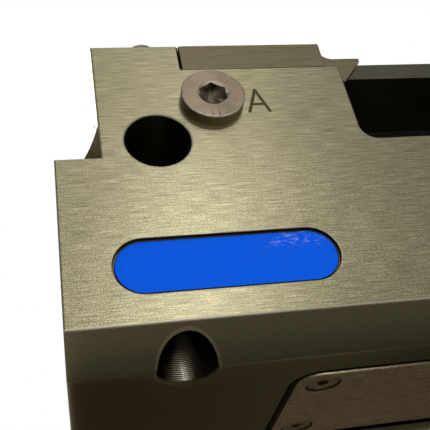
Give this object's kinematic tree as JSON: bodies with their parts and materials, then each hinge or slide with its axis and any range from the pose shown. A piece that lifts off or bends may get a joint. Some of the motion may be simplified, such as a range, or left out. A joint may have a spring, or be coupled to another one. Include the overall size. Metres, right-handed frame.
{
  "type": "parallel gripper",
  "caption": "Low pneumatic parallel gripper: base jaws slide towards each other in toothed guides of a block housing, driven by a wedge hook on an oval piston.",
  "frame": {"origin": "centre of the bottom mounting face, in the middle of its bolt pattern", "axes": "+X along the stroke of the left jaw, which is the long side; +Z from the mounting face to the jaws; the front face with ports and plate looks along -Y"},
  "size_m": [0.192, 0.077, 0.0862],
  "materials": {
    "anodised_housing": "olive bronze hard anodised with fine milled grain",
    "cover_metal": "finely ground grey brown",
    "jaw_steel": "ground grey brown steel",
    "ground_steel": "ground",
    "black_steel": "blackened and oiled",
    "bright_screw": "zinc plated",
    "screw_steel": "dull zinc",
    "plug_steel": "turned, zinc plated",
    "plain_aluminium": "turned",
    "bushing_bronze": "turned bronze",
    "seal_rubber": "matt black",
    "magnet": "nickel plated",
    "blue_plate": "satin blue foil, bare of print"
  },
  "bodies": {
    "body": {"housing": "anodised_housing", "cylinder_cover": "cover_metal", "cover_seal": "seal_rubber", "cover_screws": "bright_screw", "rod_bushing": "bushing_bronze", "rod_seal": "seal_rubber", "port_plug_a": "plug_steel", "port_plug_b": "plug_steel", "plug_seal_a": "seal_rubber", "plug_seal_b": "seal_rubber", "label_plate": "blue_plate", "post_screws": "screw_steel", "direct_port_screws": "screw_steel", "duct_plugs": "plug_steel"},
    "drive": {"piston": "plain_aluminium", "piston_seal": "seal_rubber", "piston_magnets": "magnet", "piston_rod": "ground_steel", "wedge_hook": "black_steel", "piston_screw": "screw_steel"},
    "left_jaw": {"left_base_jaw": "jaw_steel", "left_control_cam": "ground_steel", "left_cam_screw": "screw_steel"},
    "right_jaw": {"right_base_jaw": "jaw_steel", "right_control_cam": "ground_steel", "right_cam_screw": "screw_steel"}
  },
  "joints": [
    {"name": "left_jaw_slide", "type": "slide", "parent": "body", "child": "left_jaw", "axis": [1, 0, 0], "range_m": [0, 0.016]},
    {"name": "right_jaw_slide", "type": "slide", "parent": "body", "child": "right_jaw", "axis": [-1, 0, 0], "range_m": [0, 0.016]},
    {"name": "piston_slide", "type": "slide", "parent": "body", "child": "drive", "axis": [0, 0, -1], "range_m": [0, 0.02]}
  ],
  "couplings": [
    {"joint": "right_jaw_slide", "follows": "left_jaw_slide", "ratio": 1},
    {"joint": "piston_slide", "follows": "left_jaw_slide", "ratio": 1.25}
  ]
}
